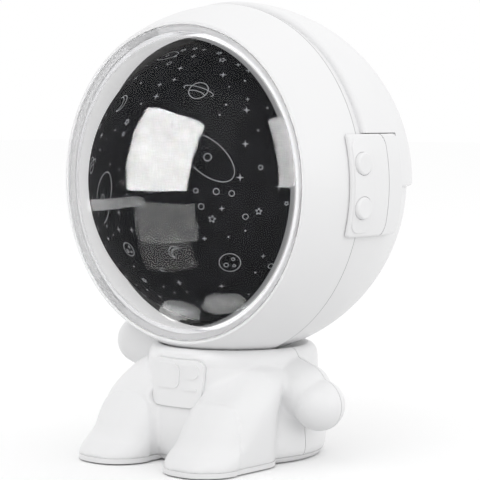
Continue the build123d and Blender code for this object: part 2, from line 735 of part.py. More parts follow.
def visor():
    dome = (Sphere(VISOR_R) - Sphere(VISOR_R - VISOR_WALL)) & slab(FLANGE_Z, BIG)
    skirt = tube(SKIRT_R, SKIRT_R - SKIRT_WALL, SKIRT_BACK_Z, FLANGE_Z + FLANGE_THICK)
    flange = tube(FLANGE_R, SKIRT_R - SKIRT_WALL, FLANGE_Z, FLANGE_Z + FLANGE_THICK)
    body = dome + skirt + flange
    top = LIP_BACK_Z - GAP
    for angle in LUG_ANGLES:
        body += lug_ring(angle, LUG_SPAN, LUG_R, top - LUG_THICK, top)
    return body


# Neck


def neck_post():
    seat = NECK_SEAT_Z
    body = rod(NECK_R, BUSH_BOTTOM_Z - GAP, seat + NECK_FLANGE_THICK)
    body += rod(NECK_FLANGE_R, seat, seat + NECK_FLANGE_THICK)
    collar_z = BUSH_TOP_Z + COLLAR_GAP
    body += rod(COLLAR_R, collar_z, collar_z + COLLAR_HEIGHT)
    body -= rod(NECK_BORE_R, 0, BIG)
    for x, z in neck_screw_points():
        body -= rod(NECK_SCREW_SHANK + SCREW_FIT, seat - 1, seat + 5, x, -z)
    for x, y in retainer_screw_points():
        body -= rod(RETAINER_SCREW_SHANK + SCREW_FIT, 20, BUSH_BOTTOM_Z + 4.4, x, y)
    return body


def neck_screws():
    one = screw(NECK_SCREW_SHANK, NECK_SCREW_HEAD, 1.4, 5.6)
    top = NECK_SEAT_Z + NECK_FLANGE_THICK
    return [Pos(x, -z, top) * one for x, z in neck_screw_points()]


def neck_bush():
    body = rod(BUSH_R, BUSH_BOTTOM_Z, BUSH_TOP_Z) + rod(BUSH_FLANGE_R, BUSH_BOTTOM_Z, BUSH_SEAT_Z)
    body -= rod(NECK_R + RUNNING, 0, BIG)
    for x, y in bush_screw_points():
        body -= rod(BUSH_SCREW_SHANK + SCREW_FIT, 0, BIG, x, y)
    return body


def bush_screw_points():
    return [on_circle(BUSH_SCREW_R, angle) for angle in BUSH_SCREW_ANGLES]


def bush_screws():
    one = Rot(180, 0, 0) * screw(BUSH_SCREW_SHANK, 1.5, 1.0, BUSH_SEAT_Z - BUSH_BOTTOM_Z + 2.5)
    return [Pos(x, y, BUSH_BOTTOM_Z) * one for x, y in bush_screw_points()]


def retainer_screw_points():
    return [on_circle(RETAINER_SCREW_R, angle) for angle in RETAINER_SCREW_ANGLES]


def neck_retainer():
    top = BUSH_BOTTOM_Z - GAP
    body = tube(BUSH_R - 0.4, NECK_BORE_R, top - RETAINER_THICK, top)
    for x, y in retainer_screw_points():
        body -= rod(RETAINER_SCREW_SHANK + SCREW_FIT, 0, BIG, x, y)
    return body


def retainer_screws():
    one = Rot(180, 0, 0) * screw(RETAINER_SCREW_SHANK, 1.5, 1.0, RETAINER_THICK + 3.2)
    bottom = BUSH_BOTTOM_Z - GAP - RETAINER_THICK
    return [Pos(x, y, bottom) * one for x, y in retainer_screw_points()]


# Body


def torso():
    top_z = TORSO_PROFILE[0][1]
    outline = [
        Line((0, FLOOR_GAP), (0, top_z)),
        Line((0, top_z), TORSO_PROFILE[0]),
        Spline(*TORSO_PROFILE),
        ThreePointArc(TORSO_PROFILE[-1], TORSO_BASE_BULGE, (TORSO_BASE_R, FLOOR_GAP)),
        Line((TORSO_BASE_R, FLOOR_GAP), (0, FLOOR_GAP)),
    ]
    body = revolve(Plane.XZ * make_face(Wire(outline)), Axis.Z)
    return body - collar_groove()


def collar_groove():
    """Fine line around the torso below its collar."""
    groove_r = TORSO_PROFILE[2][0] + 0.1
    return Pos(0, 0, COLLAR_GROOVE_Z) * Torus(groove_r, COLLAR_GROOVE_DEPTH)


def leg_section(grow, z, inner, outer, front, back, corner):
    centre = Location(((inner + outer) / 2, (front + back) / 2, z))
    width = outer - inner + 2 * grow
    depth = back - front + 2 * grow
    return centre * RectangleRounded(width, depth, corner + grow)


def leg_form(grow):
    return loft([leg_section(grow, *section) for section in LEG_SECTIONS])


def hem_cut():
    """Half space in front of the trouser hem, whose plane leans back as it rises."""
    lean = Vector(0, HEM_TOP_Y - HEM_FOOT_Y, HEM_TOP_Z)
    plane = Plane(origin=(0, HEM_FOOT_Y, 0), x_dir=(1, 0, 0), z_dir=Vector(-1, 0, 0).cross(lean))
    return extrude(plane * Rectangle(BIG, BIG), amount=BIG)


def leg():
    """Boot and shin, with the wider trouser leg over their rear part."""
    body = leg_form(0) + (leg_form(HEM_STEP) - hem_cut())
    return body & slab(FLOOR_GAP, BIG)


def ball(x, y, z, radius):
    return Pos(x, y, z) * Sphere(radius)


def limb(stations):
    """Chain of balls joined by tapered rods."""
    body = ball(*stations[0])
    for start, end in zip(stations, stations[1:]):
        run = Vector(*end[:3]) - Vector(*start[:3])
        rod_plane = Plane(origin=start[:3], z_dir=run)
        body += rod_plane * Pos(0, 0, run.length / 2) * Cone(start[3], end[3], run.length)
        body += ball(*end)
    return body


def body_solid():
    solid = torso()
    for side in both_sides(leg()):
        solid += side
    solid += limb(LEFT_SLEEVE) + ball(*LEFT_HAND)
    solid += limb(RIGHT_ARM)
    return solid


def body_cavity():
    cavity = rod(CAVITY_R, COVER_TOP_Z, CAVITY_TOP_Z)
    cavity -= Pos(0, 0, HEAD_Z) * Sphere(CUP_R + CUP_WALL)
    cavity -= rod(BUSH_FLANGE_R + 0.6, BUSH_SEAT_Z, CAVITY_TOP_Z + 5)
    leg_room = block(*LEG_ROOM_X, *LEG_ROOM_Y, COVER_TOP_Z, LEG_ROOM_TOP_Z)
    for side in both_sides(leg_room):
        cavity += side
    return cavity


def panel_prism(grow, y0, y1):
    top = PANEL_HALF_TOP + grow
    bottom = PANEL_HALF_BOTTOM + grow
    low = PANEL_BOTTOM_Z - grow
    high = PANEL_TOP_Z + grow
    outline = Polyline((-bottom, low), (bottom, low), (top, high), (-top, high), close=True)
    face = fillet(make_face(outline).vertices(), PANEL_CORNER + grow)
    facing = Plane(origin=(0, y1, 0), x_dir=(1, 0, 0), z_dir=(0, -1, 0))
    return extrude(facing * face, amount=y1 - y0)


def panel_skin(rise):
    """Torso grown outwards by a distance, for the chest panel's faces."""
    profile = [(r + rise, z) for r, z in TORSO_PROFILE]
    top = profile[0][1]
    bottom = profile[-1][1]
    outline = [
        Line((0, bottom), (0, top)),
        Line((0, top), profile[0]),
        Spline(*profile),
        Line(profile[-1], (0, bottom)),
    ]
    return revolve(Plane.XZ * make_face(Wire(outline)), Axis.Z)


def chest_panel():
    body = panel_prism(0, *PANEL_REACH_Y) & panel_skin(PANEL_RISE)
    body -= panel_skin(-PANEL_DEPTH)
    for x0, x1, z0, z1, corner in RELIEF_PADS:
        pad = block(x0, x1, *PANEL_REACH_Y, z0, z1)
        pad = fillet(pad.edges().filter_by(Axis.Y), corner)
        body += (pad & panel_skin(PANEL_RISE + RELIEF_RISE)) - panel_skin(0)
    return body


def body_bosses(y0, y1):
    bosses = []
    for x, z in BOSS_XZ:
        bosses += both_sides(rod_y(BOSS_R, y0, y1, x, z))
    return bosses


def boss_holes():
    """Screw holes through the bosses, wider behind the screw's seat."""
    holes = []
    for x, z in BOSS_XZ:
        hole = rod_y(BODY_SCREW_SHANK + SCREW_FIT, -9, BODY_SCREW_SEAT_Y, x, z)
        hole += rod_y(BOSS_MOUTH_R, BODY_SCREW_SEAT_Y, BOSS_MOUTH_Y, x, z)
        holes += both_sides(hole)
    return holes


def usb_cut(grow):
    width, height = USB_SIZE
    half = width / 2 + grow
    low = MAIN_BOARD_TOP_Z - grow
    high = MAIN_BOARD_TOP_Z + height + grow
    cut = block(-half, half, USB_FACE_Y - USB_LENGTH - 2, BIG, low, high)
    return fillet(cut.edges().filter_by(Axis.Y), height / 2)


def cover_screw_points():
    points = []
    for x, y in COVER_SCREW_XY:
        points += [(x, y), (-x, y)]
    return points


def foot_points():
    points = [(0.0, 0.0)]
    for x, y in FOOT_XY:
        points += [(x, y), (-x, y)]
    return points


def body_halves():
    solid = body_solid() & slab(COVER_TOP_Z, BIG)
    solid -= Pos(0, 0, HEAD_Z) * Sphere(CUP_R)
    hollow = solid - body_cavity()
    hollow -= rod(BUSH_R + GAP, BUSH_BOTTOM_Z - 5, BIG)
    hollow -= panel_prism(PANEL_SIDE_GAP, *PANEL_REACH_Y) - panel_skin(-PANEL_DEPTH)
    for x, y in cover_screw_points():
        hollow += rod(COVER_BOSS_R, COVER_TOP_Z, COVER_BOSS_TOP_Z, x, y)
        hollow -= rod(COVER_SCREW_SHANK + SCREW_FIT, 0, COVER_BOSS_TOP_Z - 1.0, x, y)
    for x, y in bush_screw_points():
        hollow -= rod(BUSH_SCREW_SHANK + SCREW_FIT, BUSH_BOTTOM_Z - 5, BUSH_SEAT_Z + 2.7, x, y)
    front = hollow & block(-BIG, BIG, -BIG, -BODY_SEAM, -BIG, BIG)
    rear = hollow & block(-BIG, BIG, BODY_SEAM, BIG, -BIG, BIG)
    for boss in body_bosses(*FRONT_BOSS_Y):
        front += boss
    for boss in body_bosses(*REAR_BOSS_Y):
        rear += boss
    for hole in boss_holes():
        front -= hole
        rear -= hole
    rear -= usb_cut(GAP)
    return front, rear


def body_screws():
    one = Rot(-90, 0, 0) * screw(BODY_SCREW_SHANK, 1.8, 1.3, BODY_SCREW_SEAT_Y + 8.0)
    placed = []
    for x, z in BOSS_XZ:
        placed += both_sides(Pos(x, BODY_SCREW_SEAT_Y, z) * one)
    return placed


def bottom_cover():
    cover = body_solid() & slab(FLOOR_GAP, COVER_TOP_Z)
    for x, y in foot_points():
        cover -= rod(FOOT_R + FOOT_FIT, 0, FOOT_THICK, x, y)
    for x, y in cover_screw_points():
        cover -= rod(COVER_SCREW_SHANK + SCREW_FIT, 0, 10, x, y)
        cover -= rod(COVER_SCREW_SHANK * 2, 0, FLOOR_GAP + COVER_SCREW_RECESS, x, y)
    for x, y in standoff_points():
        cover += rod(STANDOFF_R, COVER_TOP_Z - 0.5, BOARD_Z, x, y)
        cover -= rod(BOARD_SCREW_SHANK + SCREW_FIT, BOARD_Z - 5, BOARD_Z + 1, x, y)
    return cover + battery_tray()


def battery_tray():
    width, depth, _ = CELL_SIZE
    half_x = width / 2 + TRAY_FIT
    half_y = depth / 2 + TRAY_FIT
    out_x = half_x + TRAY_WALL
    out_y = half_y + TRAY_WALL
    tray = block(-out_x, out_x, -out_y, out_y, COVER_TOP_Z - 0.5, CELL_Z + 2)
    tray -= block(-half_x, half_x, -half_y, half_y, CELL_Z, BIG)
    for x, y in standoff_points():
        tray -= rod(STANDOFF_R + TRAY_FIT, 0, BIG, x, y)
    return tray


def cover_screws():
    one = Rot(180, 0, 0) * screw(COVER_SCREW_SHANK, 1.8, 0.6, 6.0)
    return [Pos(x, y, FLOOR_GAP + COVER_SCREW_RECESS) * one for x, y in cover_screw_points()]


def rubber_feet():
    foot = rod(FOOT_R, 0, FOOT_THICK)
    foot = fillet(foot.edges().sort_by(Axis.Z)[0], 0.3)
    return [Pos(x, y, 0) * foot for x, y in foot_points()]


def standoff_points():
    points = []
    for x, y in STANDOFF_XY:
        points += [(x, y), (-x, y)]
    return points


def battery_cell():
    width, depth, height = CELL_SIZE
    cell = block(-width / 2, width / 2, -depth / 2, depth / 2, CELL_Z, CELL_Z + height)
    return fillet(cell.edges().filter_by(Axis.X), 1.4)


def main_board():
    board = rod(MAIN_BOARD_R, BOARD_Z, MAIN_BOARD_TOP_Z)
    half = MAIN_BOARD_HALF_X
    board &= block(-half, half, MAIN_BOARD_FRONT_Y, MAIN_BOARD_REAR_Y, -BIG, BIG)
    for x, y in standoff_points():
        board -= rod(BOARD_SCREW_SHANK + SCREW_FIT, 0, BIG, x, y)
    return board


def board_screws():
    one = screw(BOARD_SCREW_SHANK, 1.6, 1.0, MAIN_BOARD_THICK + 3.4)
    return [Pos(x, y, MAIN_BOARD_TOP_Z) * one for x, y in standoff_points()]


def usb_socket():
    width, height = USB_SIZE
    half = width / 2
    low = MAIN_BOARD_TOP_Z
    high = low + height
    shell = block(-half, half, USB_FACE_Y - USB_LENGTH, USB_FACE_Y, low, high)
    shell = fillet(shell.edges().filter_by(Axis.Y), height * 0.42)
    inner = half - USB_WALL
    bore = block(-inner, inner, USB_FACE_Y - 6.6, USB_FACE_Y + 1, low + USB_WALL, high - USB_WALL)
    shell -= fillet(bore.edges().filter_by(Axis.Y), height * 0.32)
    middle = (low + high) / 2
    tongue = block(-3.3, 3.3, USB_FACE_Y - 8.0, USB_FACE_Y - 1.2, middle - USB_WALL, middle + USB_WALL)
    return shell + tongue


def control_chip():
    return block(-3.5, 3.5, -6.5, 0.5, MAIN_BOARD_TOP_Z, MAIN_BOARD_TOP_Z + 1.2)


def power_inductor():
    coil = block(6.0, 12.0, 3.0, 9.0, MAIN_BOARD_TOP_Z, MAIN_BOARD_TOP_Z + 3.2)
    return fillet(coil.edges().filter_by(Axis.Z), 1.2)


def capacitor():
    can = rod(3.0, MAIN_BOARD_TOP_Z, MAIN_BOARD_TOP_Z + 5.4, -9.0, 7.0)
    return fillet(can.edges().sort_by(Axis.Z)[-1], 0.5)


def ballast():
    width, depth, height = BALLAST_SIZE
    x, y = BALLAST_CENTRE
    bar = Pos(x, y, COVER_TOP_Z + height / 2) * Box(width, depth, height)
    return chamfer(bar.edges().filter_by(Axis.Z), 1.0)


# Assembly


def write(name, shapes):
    solids = shapes if isinstance(shapes, list) else [shapes]
    found = []
    for shape in solids:
        found += list(shape.solids())
    export_step(found[0] if len(found) == 1 else Compound(children=found), f"parts/{name}.step")
    return found


def head_pieces():
    pieces = {
        "front_shell": front_shell(),
        "rear_shell": rear_shell(),
        "ear_screws": ear_screws(),
        "star_dome": star_dome(),
        "dome_carrier": dome_carrier(),
        "lamp_post": lamp_post(),
        "carrier_clip": carrier_clip(),
        "stage_plate": stage_plate(),
        "stage_screws": stage_screws(),
        "post_screws": post_screws(),
        "motor": motor(),
        "motor_screws": motor_screws(),
        "motor_shaft": motor_shaft(),
        "pinion": pinion(),
        "heat_sink": heat_sink(),
        "lamp_board": lamp_board(),
        "lamp_emitter": lamp_emitter(),
        "lamp_lens": lamp_lens(),
        "visor": visor(),
    }
    left = {
        "ear_cap": ear_cap(),
        "ear_base": ear_base(),
        "button_board": button_board(),
    }
    for end, y in (("upper", BUTTON_Y), ("lower", -BUTTON_Y)):
        left[f"button_{end}"] = button(y)
        left[f"plunger_{end}"] = plunger(y)
        left[f"switch_{end}"] = tact_switch(y)
    for name, shape in left.items():
        pieces[f"{name}_left"] = shape
        pieces[f"{name}_right"] = mirrored(shape)
    placed = {}
    for name, shape in pieces.items():
        shapes = shape if isinstance(shape, list) else [shape]
        placed[name] = [to_world(one) for one in shapes]
    return placed


def body_pieces():
    front, rear = body_halves()
    return {
        "neck_post": neck_post(),
        "neck_screws": neck_screws(),
        "neck_bush": neck_bush(),
        "bush_screws": bush_screws(),
        "neck_retainer": neck_retainer(),
        "retainer_screws": retainer_screws(),
        "body_front": front,
        "body_rear": rear,
        "body_screws": body_screws(),
        "chest_panel": chest_panel(),
        "bottom_cover": bottom_cover(),
        "cover_screws": cover_screws(),
        "rubber_feet": rubber_feet(),
        "battery_cell": battery_cell(),
        "main_board": main_board(),
        "board_screws": board_screws(),
        "usb_socket": usb_socket(),
        "control_chip": control_chip(),
        "power_inductor": power_inductor(),
        "capacitor": capacitor(),
        "ballast_left": ballast(),
        "ballast_right": mirrored(ballast()),
    }


for piece_name, piece_shape in {**head_pieces(), **body_pieces()}.items():
    solids_written = write(piece_name, piece_shape)
    print(piece_name, len(solids_written), round(sum(s.volume for s in solids_written), 1))
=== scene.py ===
"""Looks of the seated toy-astronaut star projector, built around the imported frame.

World frame: metres, +Z up, the front faces -Y, the toy's left side is +X, origin on the floor below the head.
"""

import math
import random

import bmesh
import bpy
from mathutils import Matrix, Vector


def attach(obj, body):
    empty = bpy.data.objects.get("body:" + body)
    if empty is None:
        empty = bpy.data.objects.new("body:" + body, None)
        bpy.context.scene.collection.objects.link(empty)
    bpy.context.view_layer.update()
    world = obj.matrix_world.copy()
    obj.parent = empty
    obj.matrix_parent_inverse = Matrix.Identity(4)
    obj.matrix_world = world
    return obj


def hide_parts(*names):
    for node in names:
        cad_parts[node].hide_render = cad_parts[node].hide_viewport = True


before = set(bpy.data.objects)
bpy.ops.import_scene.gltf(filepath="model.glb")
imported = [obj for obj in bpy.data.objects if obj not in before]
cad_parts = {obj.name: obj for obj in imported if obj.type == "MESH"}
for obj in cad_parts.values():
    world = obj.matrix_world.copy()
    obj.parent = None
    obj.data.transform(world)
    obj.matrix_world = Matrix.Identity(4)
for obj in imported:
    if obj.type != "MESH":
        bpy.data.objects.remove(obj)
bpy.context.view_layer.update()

MM = 0.001

# Camera, from the head's centre
HEAD_CENTRE = Vector((0.0, 0.0, 0.087))
CAMERA_YAW = 41.0
CAMERA_ELEVATION = 2.0
CAMERA_DISTANCE = 0.589
PIXELS = 480
FOCAL_PIXELS = 1840.0
SENSOR_MM = 36.0
HEAD_PIXEL = (233.3, 181.0)

# Light
FLOOR_SEEN = 0.985
FLOOR_BOUNCE = 0.7
KEY_POWER = 1.9
FILL_POWER = 1.9

# Head's radii that the star film and the visor follow, from the same sizes as the solids
FRONT_R = 56.3 * MM
OPENING_Z = 26.0 * MM
COUNTER_R = math.sqrt(FRONT_R**2 - OPENING_Z**2) - 0.94 * MM
OPENING_R = COUNTER_R - 1.8 * MM
FLANGE_Z = OPENING_Z - 1.3 * MM
FLANGE_THICK = 1.15 * MM
SKIRT_MIDDLE_R = OPENING_R - 1.0 * MM
VISOR_R = math.sqrt(OPENING_R**2 + FLANGE_Z**2)
STAR_R = VISOR_R - 7.0 * MM

# White shells, the painted shadow line along their seam and the frosted rim of the visor with its painted
# glow
SHELL_WHITE = (0.84, 0.84, 0.845)
SHELL_ROUGHNESS = 0.36
SEAM_Z = 6.0 * MM
# Width and tone of the painted shadow line at the seam
SEAM_SHADOW_WIDTH = 0.5 * MM
SEAM_SHADE = 0.35
# Strength of the painted glow on the visor rim's frosted inner side, which is no lamp
RIM_PAINTED_GLOW = 0.5
RIM_VEIL = 0.3
FROST_VEIL = 0.96
FROST_DEPTH = 2.0 * MM

# Printed motifs
MOTIF_SEED = 11
MOTIF_LIFT = 0.06 * MM
MOTIF_LINE = 0.26 * MM
MOTIF_COUNT = 180
MOTIF_GAP_DEGREES = 4.6
MOTIF_EDGE_DEGREES = 72.0
MOTIF_TRIES = 4000
MOTIF_SIZES = (0.75, 1.35)
LARGE_MOTIF_GAP_DEGREES = 6.5

# Softened body skin
SKIN_VOXEL = 0.5 * MM
SKIN_SEAM = 0.12 * MM
CUP_R = FRONT_R + 0.45 * MM
CUP_GUARD = 1.2 * MM
JUNCTION_REACH = 5.0 * MM
JUNCTION_LOW_Z = 4.0 * MM
JUNCTION_HIGH_Z = 29.0 * MM
JUNCTION_GAIN = 1.6
TORSO_BASE_R = 29.9 * MM
TORSO_TAPER = 2.7 * MM
TORSO_BASE_Z = 5.0 * MM
TORSO_RISE = 24.0 * MM
PANEL_GUARD_X = 12.0 * MM
PANEL_GUARD_Y = -15.0 * MM
PANEL_GUARD_Z = 15.5 * MM
SOFTEN_STEPS = 60
POLISH_STEPS = 4


def node(name):
    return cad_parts[name]


# Node helpers


class Nodes:
    """Short way to add and link shader nodes. A value can be a number, a colour or another node's output."""

    def __init__(self, tree, keep=False):
        self.tree = tree
        if not keep:
            self.tree.nodes.clear()

    def add(self, kind, inputs=None, **settings):
        made = self.tree.nodes.new(kind)
        for key, value in settings.items():
            setattr(made, key, value)
        for key, value in (inputs or {}).items():
            self.put(value, made.inputs[key])
        return made

    def put(self, value, socket):
        if isinstance(value, bpy.types.NodeSocket):
            self.tree.links.new(value, socket)
        else:
            socket.default_value = value

    def math(self, operation, a, b=0.0, c=0.0, clamp=False):
        made = self.add("ShaderNodeMath", operation=operation, use_clamp=clamp)
        for value, socket in zip((a, b, c), made.inputs):
            self.put(value, socket)
        return made.outputs[0]

    def coords(self):
        return self.add("ShaderNodeTexCoord").outputs["Object"]

    def axis(self, name):
        return self.add("ShaderNodeSeparateXYZ", {"Vector": self.coords()}).outputs[name]

    def radius_from_head_axis(self):
        """Distance from the line through the head's centre that runs from front to back."""
        inputs = {0: self.coords(), 1: HEAD_CENTRE}
        offset = self.add("ShaderNodeVectorMath", inputs, operation="SUBTRACT").outputs[0]
        inputs = {0: offset, 1: (1.0, 0.0, 1.0)}
        across = self.add("ShaderNodeVectorMath", inputs, operation="MULTIPLY").outputs[0]
        return self.add("ShaderNodeVectorMath", {0: across}, operation="LENGTH").outputs["Value"]

    def noise(self, scale, detail=2.0, vector=None, roughness=0.5):
        inputs = {"Scale": scale, "Detail": detail, "Roughness": roughness}
        inputs["Vector"] = vector or self.coords()
        return self.add("ShaderNodeTexNoise", inputs).outputs["Fac"]

    def ramp(self, value, low, high, out_low, out_high):
        inputs = {"Value": value, "From Min": low, "From Max": high, "To Min": out_low, "To Max": out_high}
        return self.add("ShaderNodeMapRange", inputs).outputs["Result"]

    def mix(self, factor, a, b):
        """Mixes two colours, whose sockets are the Mix node's seventh and eighth."""
        made = self.add("ShaderNodeMix", data_type="RGBA")
        self.put(factor, made.inputs["Factor"])
        self.put(a, made.inputs[6])
        self.put(b, made.inputs[7])
        return made.outputs[2]

    def bump(self, height, distance, strength=1.0, normal=None):
        inputs = {"Height": height, "Distance": distance, "Strength": strength}
        if normal is not None:
            inputs["Normal"] = normal
        return self.add("ShaderNodeBump", inputs).outputs["Normal"]

    def principled(self, **inputs):
        named = {key.replace("_", " "): value for key, value in inputs.items()}
        return self.add("ShaderNodeBsdfPrincipled", named).outputs["BSDF"]

    def mix_shader(self, factor, first, second):
        made = self.add("ShaderNodeMixShader")
        self.put(factor, made.inputs[0])
        self.put(first, made.inputs[1])
        self.put(second, made.inputs[2])
        return made.outputs[0]

    def seen_directly(self):
        """1 for camera, glossy and transmission rays."""
        path = self.add("ShaderNodeLightPath").outputs
        bright = self.math("MAXIMUM", path["Is Camera Ray"], path["Is Glossy Ray"])
        return self.math("MAXIMUM", bright, path["Is Transmission Ray"])

    def output(self, shader):
        self.add("ShaderNodeOutputMaterial", {"Surface": shader})


def new_material(name):
    material = bpy.data.materials.new(name)
    material.use_nodes = True
    return material, Nodes(material.node_tree)


def rgb(r, g, b):
    return (r, g, b, 1.0)


def shade(colour, factor):
    return rgb(*[channel * factor for channel in colour])


# Materials


def moulded_plastic(name, colour, roughness, grain=0.012, tint=0.02, scale=2600.0):
    """Satin moulded plastic: fine spark grain, faint tone drift and slightly uneven gloss."""
    material, nodes = new_material(name)
    drift = nodes.ramp(nodes.noise(14.0, 3.0), 0.3, 0.7, 0.0, 1.0)
    body = nodes.principled(
        Base_Color=nodes.mix(drift, rgb(*colour), shade(colour, 1 - 2 * tint)),
        Roughness=nodes.ramp(nodes.noise(55.0, 2.0), 0.3, 0.7, roughness - 0.04, roughness + 0.05),
        Normal=nodes.bump(nodes.noise(scale, 2.0), grain * MM),
    )
    nodes.output(body)
    return material


def front_plastic_seam_shadow(name, colour, roughness):
    """The shell's plastic with a painted shadow: a thin dark line along its rear edge, where the seam is."""
    material = moulded_plastic(name, colour, roughness)
    tree = material.node_tree
    body = next(item for item in tree.nodes if item.type == "BSDF_PRINCIPLED")
    plain = body.inputs["Base Color"].links[0].from_socket
    nodes = Nodes(tree, keep=True)
    # Painted shadow: base colour darkened in a thin band just in front of the shell's rear edge, with the
    # rear face itself left white
    depth = nodes.math("SUBTRACT", -SEAM_Z, nodes.axis("Y"))
    front_end = nodes.ramp(depth, 0.7 * SEAM_SHADOW_WIDTH, SEAM_SHADOW_WIDTH, 1.0, 0.0)
    rear_end = nodes.ramp(depth, 0.01 * MM, 0.03 * MM, 0.0, 1.0)
    line = nodes.math("MULTIPLY", front_end, rear_end)
    nodes.put(nodes.mix(line, plain, shade(colour, SEAM_SHADE)), body.inputs["Base Color"])
    return material


def metal(name, colour, roughness, scale=900.0, stretch=(1.0, 1.0, 1.0)):
    """Plated or brushed metal with a fine grain, drawn out along one axis where it is brushed."""
    material, nodes = new_material(name)
    mapping = nodes.add("ShaderNodeMapping", {"Vector": nodes.coords(), "Scale": stretch})
    streaks = nodes.noise(scale, 3.0, mapping.outputs["Vector"])
    blotch = nodes.ramp(nodes.noise(160.0, 2.0), 0.3, 0.7, 0.0, 1.0)
    body = nodes.principled(
        Base_Color=nodes.mix(blotch, rgb(*colour), shade(colour, 0.82)),
        Metallic=1.0,
        Roughness=nodes.ramp(streaks, 0.3, 0.7, roughness - 0.06, roughness + 0.1),
        Normal=nodes.bump(streaks, 0.01 * MM),
    )
    nodes.output(body)
    return material


def circuit_board(name, colour):
    """Solder mask over faint copper tracks that run in two directions."""
    material, nodes = new_material(name)
    tracks = nodes.add("ShaderNodeTexBrick", {"Vector": nodes.coords(), "Scale": 420.0, "Mortar Size": 0.03})
    lighter = shade(colour, 1.7)
    body = nodes.principled(
        Base_Color=nodes.mix(tracks.outputs["Fac"], rgb(*colour), lighter),
        Roughness=nodes.ramp(nodes.noise(90.0, 2.0), 0.3, 0.7, 0.26, 0.36),
        Normal=nodes.bump(tracks.outputs["Fac"], 0.02 * MM),
    )
    nodes.output(body)
    return material


def star_film():
    """Matt black film of the star dome, with a very slight mottle and a trace of gloss."""
    material, nodes = new_material("star_film")
    mottle = nodes.ramp(nodes.noise(220.0, 3.0), 0.35, 0.65, 0.0, 1.0)
    bumps = nodes.bump(nodes.noise(1500.0, 2.0), 0.0015 * MM)
    colour = nodes.mix(mottle, rgb(0.002, 0.002, 0.003), rgb(0.006, 0.006, 0.008))
    matt = nodes.add("ShaderNodeBsdfDiffuse", {"Color": colour, "Normal": bumps})
    soft = nodes.ramp(nodes.noise(60.0, 2.0), 0.3, 0.7, 0.38, 0.46)
    gloss = nodes.add("ShaderNodeBsdfGlossy", {"Roughness": soft, "Normal": bumps})
    nodes.output(nodes.mix_shader(0.008, matt.outputs[0], gloss.outputs[0]))
    return material


def motif_ink():
    """Thin grey print, slightly uneven where the ink is thin."""
    material, nodes = new_material("motif_ink")
    thin = nodes.ramp(nodes.noise(900.0, 2.0), 0.35, 0.65, 0.0, 1.0)
    body = nodes.principled(
        Base_Color=nodes.mix(thin, rgb(0.33, 0.34, 0.36), rgb(0.19, 0.195, 0.21)),
        Roughness=nodes.ramp(nodes.noise(200.0, 2.0), 0.3, 0.7, 0.4, 0.55),
    )
    nodes.output(body)
    return material


def clear_dome():
    """Clear thin dome that reflects more towards its edge."""
    material, nodes = new_material("dome_clear")
    facing = nodes.add("ShaderNodeLayerWeight", {"Blend": 0.5}).outputs["Facing"]
    rise = nodes.math("POWER", facing, 5.0)
    mirror = nodes.math("MULTIPLY_ADD", rise, 0.22, 0.005, clamp=True)
    haze = nodes.ramp(nodes.noise(30.0, 2.0), 0.3, 0.7, 0.008, 0.018)
    gloss = nodes.add("ShaderNodeBsdfGlossy", {"Color": rgb(1.0, 1.0, 1.0), "Roughness": haze})
    through = nodes.add("ShaderNodeBsdfTransparent", {"Color": rgb(0.985, 0.985, 0.985)})
    nodes.output(nodes.mix_shader(mirror, through.outputs[0], gloss.outputs[0]))
    return material


def frosted_flange():
    """Visor rim: clear at its flange, frosted behind it, with a painted glow on the frosted skirt's inner
    side.
    """
    material, nodes = new_material("flange_frosted_painted_glow")
    clear_from = -(FLANGE_Z + FLANGE_THICK)
    behind = nodes.ramp(nodes.axis("Y"), clear_from, clear_from + FROST_DEPTH, 0.0, 1.0)
    inside = nodes.ramp(nodes.radius_from_head_axis(), SKIRT_MIDDLE_R, SKIRT_MIDDLE_R + 0.3 * MM, 1.0, 0.0)
    painted_glow_mask = nodes.math("MULTIPLY", behind, inside)
    solid = nodes.principled(
        Base_Color=rgb(0.82, 0.82, 0.83),
        Roughness=nodes.ramp(nodes.noise(60.0, 2.0), 0.3, 0.7, 0.2, 0.32),
        Normal=nodes.bump(nodes.noise(2200.0, 2.0), 0.01 * MM),
        # Painted glow: white emission on the inner side of the frosted skirt, which is no lamp
        Emission_Color=rgb(1.0, 1.0, 1.0),
        Emission_Strength=nodes.math("MULTIPLY", painted_glow_mask, RIM_PAINTED_GLOW),
    )
    through = nodes.add("ShaderNodeBsdfTransparent", {"Color": rgb(0.95, 0.95, 0.95)})
    veil = nodes.ramp(behind, 0.5, 1.0, RIM_VEIL, FROST_VEIL)
    nodes.output(nodes.mix_shader(veil, through.outputs[0], solid))
    return material


def clear_lens():
    """Clear acrylic of the lamp's lens."""
    material, nodes = new_material("lens_clear")
    body = nodes.principled(
        Base_Color=rgb(0.95, 0.96, 0.97),
        Roughness=nodes.ramp(nodes.noise(70.0, 2.0), 0.3, 0.7, 0.03, 0.08),
        Transmission_Weight=0.9,
        IOR=1.49,
    )
    nodes.output(body)
    return material


def rubber():
    """Dark rubber with a fine matt grain."""
    return moulded_plastic("rubber_grey", (0.06, 0.06, 0.062), 0.75, grain=0.03, tint=0.08, scale=1400.0)


